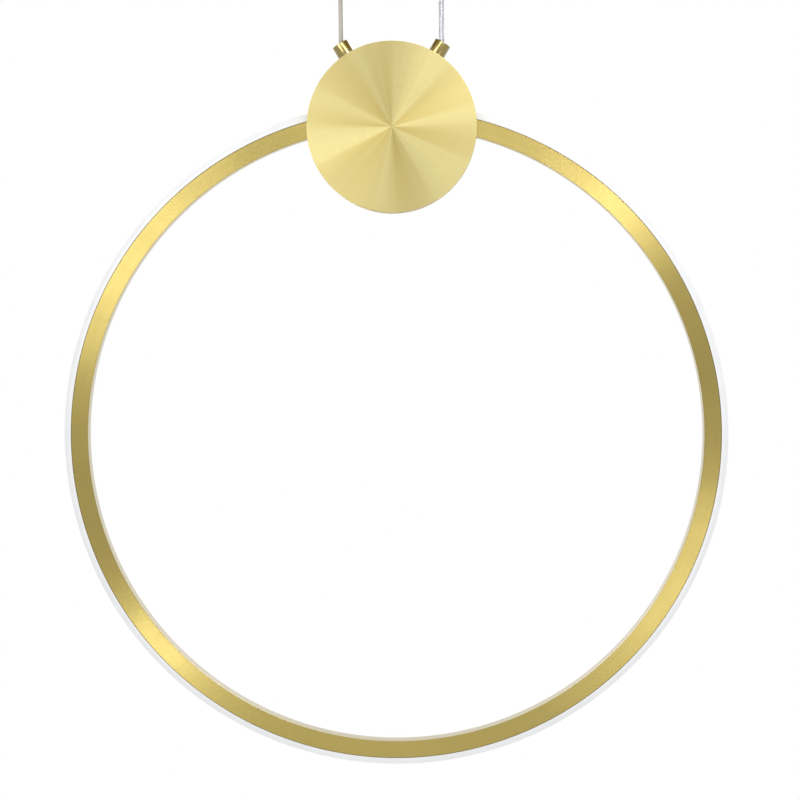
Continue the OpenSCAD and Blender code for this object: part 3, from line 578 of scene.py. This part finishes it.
nickel = plated_steel("nickel plated steel", colour(202, 203, 206), colour(170, 171, 176), 900.0)
dress(
    nickel, "canopy_nipples", "canopy_nuts", "grip_nipples", "grip_nuts", "upper_cord_stop",
    "lower_cord_stop", "pillars", "saddle_straps", "splice_plate")


# Cords: on the left a steel rope in a matt grey jacket carries the weight, on the right a clear
# jacket with two tinned cores brings the power. Both leave their grips straight and hang taut.
cord_top = -36.1 * mm
cord_foot = -89.9 * mm
rope_d = 4 * mm
power_d = 5 * mm
core_d = 1.5 * mm
core_apart = 2.2 * mm
cord_rings = 24


def drawn_tube(name, path, diameter, material, sides=32):
    """A round jacket along a path, with softly domed ends. The map 'run' goes round and along."""
    shape = bmesh.new()
    run = shape.loops.layers.uv.new("run")
    heading = (path[-1] - path[0]).normalized()
    across = heading.orthogonal().normalized()
    other = heading.cross(across)
    dome = [(0.0, 0.3), (0.2, 0.6), (0.5, 0.82), (1.1, 1.0)]
    stops = [(path[0] + heading * a * diameter / 2, r) for a, r in dome]
    stops += [(p, 1.0) for p in path[1:-1]]
    stops += [(path[-1] - heading * a * diameter / 2, r) for a, r in reversed(dome)]
    rows = []
    for spot, share in stops:
        row = []
        for k in range(sides):
            a = 2 * math.pi * k / sides
            outwards = math.cos(a) * across + math.sin(a) * other
            row.append(shape.verts.new(spot + share * diameter / 2 * outwards))
        rows.append(row)
    for j, (low, high) in enumerate(zip(rows, rows[1:])):
        for k in range(sides):
            n = (k + 1) % sides
            face = shape.faces.new((low[k], low[n], high[n], high[k]))
            spans = ((k, j), (k + 1, j), (k + 1, j + 1), (k, j + 1))
            for loop, (turn, ring) in zip(face.loops, spans):
                loop[run].uv = (turn / sides, (stops[ring][0] - path[0]).length)
    shape.faces.new(rows[0])
    shape.faces.new(rows[-1])
    bmesh.ops.recalc_face_normals(shape, faces=shape.faces)
    return as_piece(name, shape, material, crease=60)


def hanging(x):
    """Centres of a cord's rings, from its grip under the canopy down to its grip on the drum."""
    step = (cord_foot - cord_top) / cord_rings
    return [Vector((x, 0, cord_top + step * k)) for k in range(cord_rings + 1)]


def stretched(tree, point, share):
    """The point with its height counted by a share only, so that a noise runs up and down."""
    return add(tree, "ShaderNodeMapping", {"Vector": point, "Scale": (1.0, 1.0, share)}).outputs[0]


grey_jacket, tree, shader, point = finish(
    "grey cord jacket", Roughness=0.42, Specular_IOR_Level=0.5, Sheen_Weight=0.25)
drawn = noise(tree, stretched(tree, point, 0.06), 2600.0, 3.0)
tree.links.new(
    two_tones(tree, drawn, colour(191, 186, 177), colour(202, 197, 190)), shader.inputs["Base Color"])
raise_surface(tree, shader, drawn, 0.02 * mm)
dress(grey_jacket, "left_cord_top", "left_cord_end")

clear_jacket, tree, shader, point = finish(
    "clear cord jacket", Roughness=0.06, IOR=1.42, Transmission_Weight=1.0, Base_Color=colour(241, 241, 242))
ripple = noise(tree, stretched(tree, point, 0.1), 900.0, 2.0)
tree.links.new(ramp(tree, ripple, 0.04, 0.1), shader.inputs["Roughness"])
raise_surface(tree, shader, ripple, 0.001 * mm)
dress(clear_jacket, "right_cord_top", "right_cord_end")

tinned_core, tree, shader, point = finish("tinned core", Metallic=0.1)
strand = add(tree, "ShaderNodeTexWave", {
    "Vector": point, "Scale": 900.0, "Distortion": 0.0}, bands_direction="DIAGONAL").outputs["Fac"]
tree.links.new(
    blend_colours(tree, strand, colour(184, 183, 187), colour(195, 194, 198)), shader.inputs["Base Color"])
tree.links.new(ramp(tree, strand, 0.3, 0.5), shader.inputs["Roughness"])
raise_surface(tree, shader, strand, 0.02 * mm)

left_path = hanging(-cord_x)
left_cord = drawn_tube("suspension_cord", left_path, rope_d, grey_jacket)
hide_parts("left_cord_neck", "left_cord", "left_cord_tail")
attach(left_cord, "left_cord")

for side, label in ((-1, "left"), (1, "right")):
    core_path = hanging(cord_x + side * core_apart / 2)
    core = drawn_tube("core_" + label, core_path, core_d, tinned_core, sides=12)
    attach(core, "right_cord")
right_path = hanging(cord_x)
right_cord = drawn_tube("power_cord", right_path, power_d, clear_jacket)
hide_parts("right_cord_neck", "right_cord", "right_cord_tail")
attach(right_cord, "right_cord")


# Drum: a turned brass face with a short rim, closed by a brushed shell behind. Three countersunk
# screws join them through pillars, and two more hold the ring's saddles.
drum_r = 75.5 * mm
face_front = 18 * mm
face_wall = 2.6 * mm
drum_wall = 2 * mm
seam = 7.3 * mm
stand_up = Matrix.Rotation(math.pi / 2, 4, "X")
at_drum = Matrix.Translation((0, 0, drum_z)) @ stand_up

# The drum face's wedge colour is a painted shade: darker sectors of a painted reflection pattern
face_brass = brushed_brass(
    "drum face brass", colour(208, 195, 135), colour(192, 179, 119), at_drum,
    lines=2200.0, roughness=0.58, stretch=1.0, depth=0.012 * mm, lacquer=0.1, dust=0.15,
    wedge=colour(186, 167, 100))
drum_face = turned_piece("drum_front", [
    (0, face_front, 0), (drum_r, face_front, 0.45 * mm), (drum_r, seam, 0.15 * mm),
    (drum_r - drum_wall, seam, 0), (drum_r - drum_wall, face_front - face_wall, 0.8 * mm),
    (0, face_front - face_wall, 0),
], at_drum, face_brass, steps=256)
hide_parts("drum_face")
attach(drum_face, "pendant")

shell_brass = brushed_brass(
    "drum shell brass", colour(183, 168, 113), colour(167, 151, 98), at_drum,
    lines=2200.0, roughness=0.46, stretch=1.0, depth=0.01 * mm, dust=0.2, mapped=False)
dress(shell_brass, "drum_shell")

rear_screw_l = 9 * mm
sink_depth = 2 * mm
countersunk = screw_head(screw_d, [
    (0, -rear_screw_l, 0), (shank_r, -rear_screw_l, 0), (shank_r, -sink_depth, 0),
    (head_r, -0.05 * mm, 0.1 * mm), (0, -0.02 * mm, 0),
], slot_depth)
pillar_r = 55.5 * mm
pillar_angles = (90, 224, 316)
backwards = Vector((0, 1, 0))
rear_places = []
for angle in pillar_angles:
    a = math.radians(angle)
    behind = Vector((pillar_r * math.cos(a), face_front, drum_z + pillar_r * math.sin(a)))
    rear_places.append((behind, backwards))
rear_screws = set_out("rear_closing_screws", countersunk, rear_places, screw_brass, seed=5)
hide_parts("rear_screws")
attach(rear_screws, "pendant")


# Saddles: die-cast blocks on the drum's back in which the ring lies, each closed by a steel strap
# and held by one countersunk screw from behind. The casting keeps the grain of its die.
ring_z = -439.827 * mm
ring_ro = 293 * mm
ring_ri = 277.5 * mm
half_depth = 7 * mm
saddle_x = 42 * mm

cast_zinc, tree, shader, point = finish("cast saddle", Metallic=0.9, Roughness=0.5)
sand = noise(tree, point, 1400.0, 4.0, 0.7)
tree.links.new(
    two_tones(tree, sand, colour(168, 168, 172), colour(190, 190, 194)), shader.inputs["Base Color"])
raise_surface(tree, shader, sand, 0.08 * mm)
dress(cast_zinc, "ring_saddles")

saddle_r = (ring_ri + ring_ro) / 2
saddle_z = ring_z + math.sqrt(saddle_r ** 2 - saddle_x ** 2)
saddle_places = [(Vector((side * saddle_x, face_front, saddle_z)), backwards) for side in (-1, 1)]
saddle_screws = set_out("saddle_fixing_screws", countersunk, saddle_places, screw_brass, seed=8)
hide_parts("saddle_screws")
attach(saddle_screws, "pendant")


# Ring: an aluminium U-channel, coloured brass, bent round and closed at the top over a splice
# plate. Its flanks are brushed round the ring, its inner face is left pale and smooth, as drawn.
channel_wall = 1.5 * mm
lip = 0.7 * mm
lip_h = 1.2 * mm
ring_steps = 480
saw_cut = math.radians(0.03)

sweeping, taken = new_tree(
    "Section swept round the ring", Radius="Float", Start="Float", Sweep="Float", Steps="Int",
    Height="Float", Material="Material")
outline = add(sweeping, "GeometryNodeMeshToCurve", {"Mesh": taken["Geometry"]}).outputs[0]
outline_run = add(sweeping, "GeometryNodeSplineParameter").outputs["Length"]
outline = add(sweeping, "GeometryNodeStoreNamedAttribute", {
    "Geometry": outline, "Name": "section run", "Value": outline_run}, data_type="FLOAT").outputs[0]
arc = add(sweeping, "GeometryNodeCurveArc", {
    "Radius": taken["Radius"], "Start Angle": taken["Start"], "Sweep Angle": taken["Sweep"],
    "Resolution": taken["Steps"]}, mode="RADIUS").outputs[0]
arc_share = add(sweeping, "GeometryNodeSplineParameter").outputs["Factor"]
arc = add(sweeping, "GeometryNodeStoreNamedAttribute", {
    "Geometry": arc, "Name": "turn", "Value": arc_share}, data_type="FLOAT").outputs[0]
swept = add(sweeping, "GeometryNodeCurveToMesh", {
    "Curve": arc, "Profile Curve": outline, "Fill Caps": True}).outputs[0]
turn, run_of = (
    add(sweeping, "GeometryNodeInputNamedAttribute", {"Name": name}, data_type="FLOAT").outputs[0]
    for name in ("turn", "section run"))
mapped = add(sweeping, "ShaderNodeCombineXYZ", {"X": turn, "Y": run_of}).outputs[0]
swept = add(sweeping, "GeometryNodeStoreNamedAttribute", {
    "Geometry": swept, "Name": "wrap", "Value": mapped}, data_type="FLOAT2", domain="CORNER").outputs[0]
level = add(sweeping, "ShaderNodeCombineXYZ", {"Z": taken["Height"]}).outputs[0]
stood = add(sweeping, "GeometryNodeTransform", {
    "Geometry": swept, "Translation": level, "Rotation": (math.pi / 2, 0, 0)}).outputs[0]
end_tree(sweeping, stood, taken["Material"])


def swept_piece(name, section, cut, material, steps=ring_steps, crease=32):
    """Sweeps a closed section round the ring, from one side of a cut at the top to the other. The
    cut is in radians each way from the top; the section's corners are (radius, front, rounding)."""
    points, edges = soften(section)
    middle = sum(p.x for p in points) / len(points)
    count = len(points)
    loop = [(k, (k + 1) % count) for k in range(count)]
    flat_loop = bpy.data.meshes.new(name + " section")
    flat_loop.from_pydata([(p.x - middle, p.y, 0) for p in points], loop, [])
    flat_loop.attributes.new("edge", "FLOAT", "POINT").data.foreach_set("value", edges)
    blank = bpy.data.objects.new(name + " section", flat_loop)
    bpy.context.scene.collection.objects.link(blank)
    return evaluated(name, blank, sweeping, {
        "Radius": middle, "Start": math.pi / 2 + cut, "Sweep": 2 * (math.pi - cut), "Steps": steps,
        "Height": ring_z, "Material": material}, crease)


at_ring = Matrix.Translation((0, 0, ring_z)) @ stand_up
ring_brass = brushed_brass(
    "ring brass", colour(168, 151, 88), colour(158, 141, 79), at_ring,
    lines=3000.0, roughness=0.34, stretch=1.0, depth=0.005 * mm, lacquer=0.0, dust=0.2,
    edge_wear_and_shade=colour(168, 153, 100), rubbed=0.16)


def paint_rim_shade(material, place, start, end, shade):
    """Paints a shade over a brushed finish beyond a radius: a thin painted dark line along the rim."""
    tree = material.node_tree
    base = tree.nodes["Principled BSDF"].inputs["Base Color"]
    bright = base.links[0].from_socket
    seat = from_place(tree, add(tree, "ShaderNodeTexCoord").outputs["Object"], place)
    flat = add(tree, "ShaderNodeVectorMath", {0: seat, 1: (1, 1, 0)}, operation="MULTIPLY").outputs[0]
    radius = add(tree, "ShaderNodeVectorMath", {0: flat}, operation="LENGTH").outputs["Value"]
    rim = ramp(tree, radius, 0, 0.8, start, end)
    tree.links.new(blend_colours(tree, rim, bright, shade), base)


# painted shade: a thin dark line along the ring's outer rim
paint_rim_shade(
    ring_brass, at_ring, start=ring_ro - 0.7 * mm, end=ring_ro - 0.3 * mm, shade=colour(112, 96, 46))
front = -half_depth
front_floor = channel_wall - half_depth
ring_edge = 0.4 * mm
inside_edge = 0.3 * mm
lip_edge = 0.1 * mm
rub = 0.7 * mm
front_half = [
    (ring_ri, front, ring_edge), (ring_ri + rub, front, 0), (ring_ro - rub, front, 0),
    (ring_ro, front, ring_edge), (ring_ro, front_floor + lip, lip_edge),
    (ring_ro - lip_h, front_floor + lip, lip_edge), (ring_ro - lip_h, front_floor, 0),
    (ring_ri + channel_wall, front_floor, inside_edge)]
back_half = [(r, -y, rounding) for r, y, rounding in reversed(front_half)]
ring_channel = swept_piece("ring", front_half + back_half, saw_cut, ring_brass)
drawn_brass, tree, shader, point = finish("drawn brass", Metallic=1.0, Roughness=0.26)
scuffs = noise(tree, from_place(tree, point, at_ring), 260.0, 4.0)
tree.links.new(
    two_tones(tree, scuffs, colour(192, 182, 152), colour(204, 195, 168)), shader.inputs["Base Color"])
tree.links.new(ramp(tree, scuffs, 0.24, 0.36), shader.inputs["Roughness"])
ring_channel.data.materials.append(drawn_brass)
inner_face_r = ring_ri + 0.05 * mm
for face in ring_channel.data.polygons:
    if math.hypot(face.center.x, face.center.z - ring_z) < inner_face_r:
        face.material_index = 1
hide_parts("ring_channel")
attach(ring_channel, "pendant")


# LED strip: a flexible white board stuck on the channel's floor. Under its white lacquer run two
# copper tracks, and gold pads with a cut mark between them come every third LED.
strip_r = 279.05 * mm
strip_t = 0.4 * mm
strip_w = 9 * mm
strip_start_x = 25 * mm
strip_start = math.asin(strip_start_x / ring_ri)
first_led = strip_start + math.radians(1)
led_count = 120
led_step = 2 * (math.pi - first_led) / led_count
leds_per_cut = 3


def stripe(tree, value, start, end, soft):
    """1 where a value is between two others and 0 elsewhere, with soft edges."""
    rising = ramp(tree, value, 0, 1, start, start + soft)
    falling = ramp(tree, value, 1, 0, end - soft, end)
    return calc(tree, "MULTIPLY", rising, falling)


board, tree, shader, point = finish("strip board", Roughness=0.4)
place = add(tree, "ShaderNodeSeparateXYZ", {0: from_place(tree, point, at_ring)}).outputs
from_top = calc(tree, "ADD", calc(tree, "ARCTAN2", place["X"], place["Y"]), math.pi)
within = calc(tree, "FRACT", calc(tree, "DIVIDE", from_top, leds_per_cut * led_step))
off_cut = calc(tree, "ABSOLUTE", calc(tree, "SUBTRACT", within, 0.5))
off_middle = calc(tree, "ABSOLUTE", place["Z"])
pad_length = ramp(tree, off_cut, 1, 0, 0.034, 0.038)
pad = calc(tree, "MULTIPLY", pad_length, stripe(tree, off_middle, 1.0 * mm, 3.6 * mm, 0.2 * mm))
cut_mark = ramp(tree, off_cut, 1, 0, 0.003, 0.005)
track = stripe(tree, off_middle, 2.7 * mm, 4.2 * mm, 0.2 * mm)
lacquer_grain = noise(tree, point, 1200.0, 3.0)
lacquer = blend_colours(tree, lacquer_grain, colour(232, 231, 226), colour(240, 239, 235))
lacquer = blend_colours(tree, track, lacquer, colour(222, 219, 208))
lacquer = blend_colours(tree, pad, lacquer, colour(214, 182, 92))
tree.links.new(blend_colours(tree, cut_mark, lacquer, colour(60, 60, 62)), shader.inputs["Base Color"])
tree.links.new(ramp(tree, pad, 0.0, 0.9), shader.inputs["Metallic"])
tree.links.new(ramp(tree, lacquer_grain, 0.36, 0.48), shader.inputs["Roughness"])
raise_surface(tree, shader, track, 0.03 * mm)
strip_top = strip_r + strip_t
strip = swept_piece("strip_board", [
    (strip_r, -strip_w / 2, 0), (strip_top, -strip_w / 2, 0.1 * mm), (strip_top, strip_w / 2, 0.1 * mm),
    (strip_r, strip_w / 2, 0),
], strip_start, board, steps=360)
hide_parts("led_strip")
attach(strip, "pendant")


# LEDs: white moulded packages with a round window of yellow phosphor, soldered on the strip
led_across = 2.8 * mm
led_along = 3.5 * mm
led_h = 0.8 * mm
led_chamfer = 0.12 * mm
solder = 0.02 * mm
window_sides = 12
window_depth = 0.15 * mm

led_white, tree, shader, point = finish("led package", Roughness=0.35)
window = add(tree, "ShaderNodeAttribute", attribute_name="window").outputs["Fac"]
grainy = noise(tree, point, 2500.0, 2.0)
phosphor = blend_colours(tree, grainy, colour(222, 190, 84), colour(240, 214, 120))
tree.links.new(blend_colours(tree, window, colour(238, 237, 232), phosphor), shader.inputs["Base Color"])
tree.links.new(ramp(tree, grainy, 0.3, 0.45), shader.inputs["Roughness"])
raise_surface(tree, shader, grainy, 0.02 * mm)


def led_package(across, along, tall):
    """One package: a chamfered block with a shallow round window sunk in its top."""
    shape = bmesh.new()
    block_size = Matrix.Diagonal((across, along, tall, 1))
    bmesh.ops.create_cube(shape, size=1.0, matrix=Matrix.Translation((0, 0, tall / 2)) @ block_size)
    top = [e for e in shape.edges if all(v.co.z > 0.9 * tall for v in e.verts)]
    bmesh.ops.bevel(shape, geom=top, offset=led_chamfer, segments=1, affect="EDGES")
    lid = max((f for f in shape.faces if f.normal.z > 0.9), key=lambda f: f.calc_area())
    shape.faces.remove(lid)
    depth = tall - window_depth
    rim = []
    well = []
    for k in range(window_sides):
        a = 2 * math.pi * k / window_sides
        around = Vector((math.cos(a), math.sin(a), 0))
        rim.append(shape.verts.new(around * 0.42 * across + Vector((0, 0, tall))))
        well.append(shape.verts.new(around * 0.36 * across + Vector((0, 0, depth))))
    outer = [e for e in shape.edges if e.is_boundary]
    inner = [shape.edges.new((rim[k], rim[(k + 1) % window_sides])) for k in range(window_sides)]
    bmesh.ops.triangle_fill(shape, edges=outer + inner, use_beauty=True, normal=(0, 0, 1))
    for k in range(window_sides):
        n = (k + 1) % window_sides
        shape.faces.new((rim[k], rim[n], well[n], well[k]))
    shape.faces.new(well)
    shape.verts.ensure_lookup_table()
    glowing = shape.verts.layers.float.new("window")
    for vert in shape.verts:
        near_axis = math.hypot(vert.co.x, vert.co.y) < 0.38 * across
        vert[glowing] = 1.0 if near_axis and vert.co.z > depth / 2 else 0.0
    bmesh.ops.recalc_face_normals(shape, faces=shape.faces)
    mesh = bpy.data.meshes.new("led package")
    shape.to_mesh(mesh)
    shape.free()
    return mesh


led_places = []
for k in range(led_count + 1):
    a = first_led + k * led_step
    outwards = Vector((math.sin(a), 0, math.cos(a)))
    led_places.append((Vector((0, 0, ring_z)) + (strip_top + solder) * outwards, outwards))
leds = set_out("led_packages", led_package(led_across, led_along, led_h), led_places, led_white, turn=0.0)
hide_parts("leds")
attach(leds, "pendant")


# Diffuser: an arched cover of opal acrylic, extruded and bent round the ring. Its feet hook under
# the channel's lips. It is satin outside, and a little greyer where dust lies on it.
diffuser_rise = 7 * mm
diffuser_wall = 1.6 * mm
diffuser_cut = math.radians(13.7)
slide = 0.15 * mm
arch_steps = 24

opal, tree, shader, point = finish("opal acrylic", Roughness=0.38, Specular_IOR_Level=0.4)
milky = noise(tree, point, 45.0, 3.0)
smudge, lying = handled(tree, point, 0.04, 0.25)
body = two_tones(tree, milky, colour(242, 243, 245), colour(248, 249, 251))
tree.links.new(blend_colours(tree, lying, body, colour(222, 221, 217)), shader.inputs["Base Color"])
tree.links.new(ramp(tree, smudge, 0.34, 0.46), shader.inputs["Roughness"])
raise_surface(tree, shader, noise(tree, point, 1800.0, 2.0), 0.01 * mm)

foot = half_depth - channel_wall - slide
neck = foot - lip
dome = half_depth - 0.3 * mm
hollow = neck - diffuser_wall + lip
arch_r = ring_ro + slide
arch_rise = diffuser_rise - slide
foot_r = ring_ro - lip_h - slide
foot_end_r = foot_r - 2.5 * mm
foot_cut = 0.6 * mm


def arched(rise, half_width, turns):
    """Corners of an arch over the channel's mouth, by turns of its half circle in steps."""
    corners = []
    for k in turns:
        a = math.pi * k / arch_steps
        corners.append((arch_r + rise * math.sin(a), -half_width * math.cos(a), 0))
    return corners


diffuser = swept_piece("diffuser_cover", [
    (foot_end_r, -hollow, 0), (foot_end_r, foot_cut - foot, 0), (foot_end_r + foot_cut, -foot, 0),
    (foot_r, -foot, 0), (foot_r, -neck, 0), (arch_r, -neck, 0),
    *arched(arch_rise, dome, range(arch_steps + 1)),
    (arch_r, neck, 0), (foot_r, neck, 0), (foot_r, foot, 0),
    (foot_end_r + foot_cut, foot, 0), (foot_end_r, foot - foot_cut, 0), (foot_end_r, hollow, 0),
    *arched(arch_rise - diffuser_wall, hollow, range(arch_steps, -1, -1)),
], diffuser_cut, opal, crease=40)
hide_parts("diffuser")
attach(diffuser, "pendant")


# Room: a plain pale floor below the lamp, a white surround, an overhead light and soft boxes that
# draw the streaks on the brushed brass.
floor_z = -1.3
floor_r = 1.8
floor_paint, tree, shader, point = finish("floor paint", Roughness=0.9, Specular_IOR_Level=0.0)
mottle = noise(tree, point, 3.0, 2.0)
tree.links.new(
    blend_colours(tree, mottle, colour(243, 243, 242), colour(247, 247, 246)), shader.inputs["Base Color"])
disc = bmesh.new()
at_floor = Matrix.Translation((0, 0, floor_z))
bmesh.ops.create_circle(disc, cap_ends=True, radius=floor_r, segments=128, matrix=at_floor)
floor = as_piece("floor", disc, floor_paint)

world = bpy.data.worlds.new("surround")
bpy.context.scene.world = world
world.use_nodes = True
tree = world.node_tree
tree.nodes.clear()
path_of = add(tree, "ShaderNodeLightPath").outputs
seen = calc(tree, "MAXIMUM", path_of["Is Camera Ray"], path_of["Is Glossy Ray"])
seen = calc(tree, "MAXIMUM", seen, path_of["Is Transmission Ray"])
fill = add(tree, "ShaderNodeBackground", {"Color": (1, 1, 1, 1), "Strength": 0.86})
white = add(tree, "ShaderNodeBackground", {"Color": (1, 1, 1, 1), "Strength": 1.0})
either = add(tree, "ShaderNodeMixShader", {0: seen, 1: fill.outputs[0], 2: white.outputs[0]})
add(tree, "ShaderNodeOutputWorld", {"Surface": either.outputs[0]})


def soft_box(name, place, size, power, tint=(1, 1, 1), gloss_only=True):
    """A soft light at a place, turned to the lamp. One for gloss only lights no matt surface."""
    lamp_middle = Vector((0, 0, -0.35))
    lamp = bpy.data.lights.new(name, "AREA")
    lamp.shape = "RECTANGLE"
    lamp.size, lamp.size_y = size
    lamp.energy = power
    lamp.color = tint
    box = bpy.data.objects.new(name, lamp)
    aim = lamp_middle - Vector(place)
    box.matrix_world = Matrix.Translation(place) @ aim.to_track_quat("-Z", "Y").to_matrix().to_4x4()
    box.visible_camera = False
    box.visible_diffuse = not gloss_only
    bpy.context.scene.collection.objects.link(box)


daylight = (0.98, 1.0, 1.1)
soft_box("overhead", (0.3, -0.6, 1.6), (1.6, 1.6), 13, gloss_only=False)
for label, place, size, power in (
        ("upper right", (0.92, -1.7, 0.48), (0.55, 0.55), 15),
        ("upper left", (-1.0, -1.7, 0.2), (1.0, 1.0), 20),
        ("upper middle", (0.1, -1.7, 0.74), (1.3, 0.5), 13),
        ("lower left", (-0.73, -1.6, -1.17), (0.26, 0.26), 4),
        ("lower right", (0.88, -1.6, -1.04), (0.7, 0.7), 6),
        ("rear right", (0.92, 1.7, 0.48), (0.8, 0.8), 5),
        ("rear left", (-1.0, 1.7, 0.2), (1.0, 1.0), 4)):
    soft_box(label + " box", place, size, power, daylight)
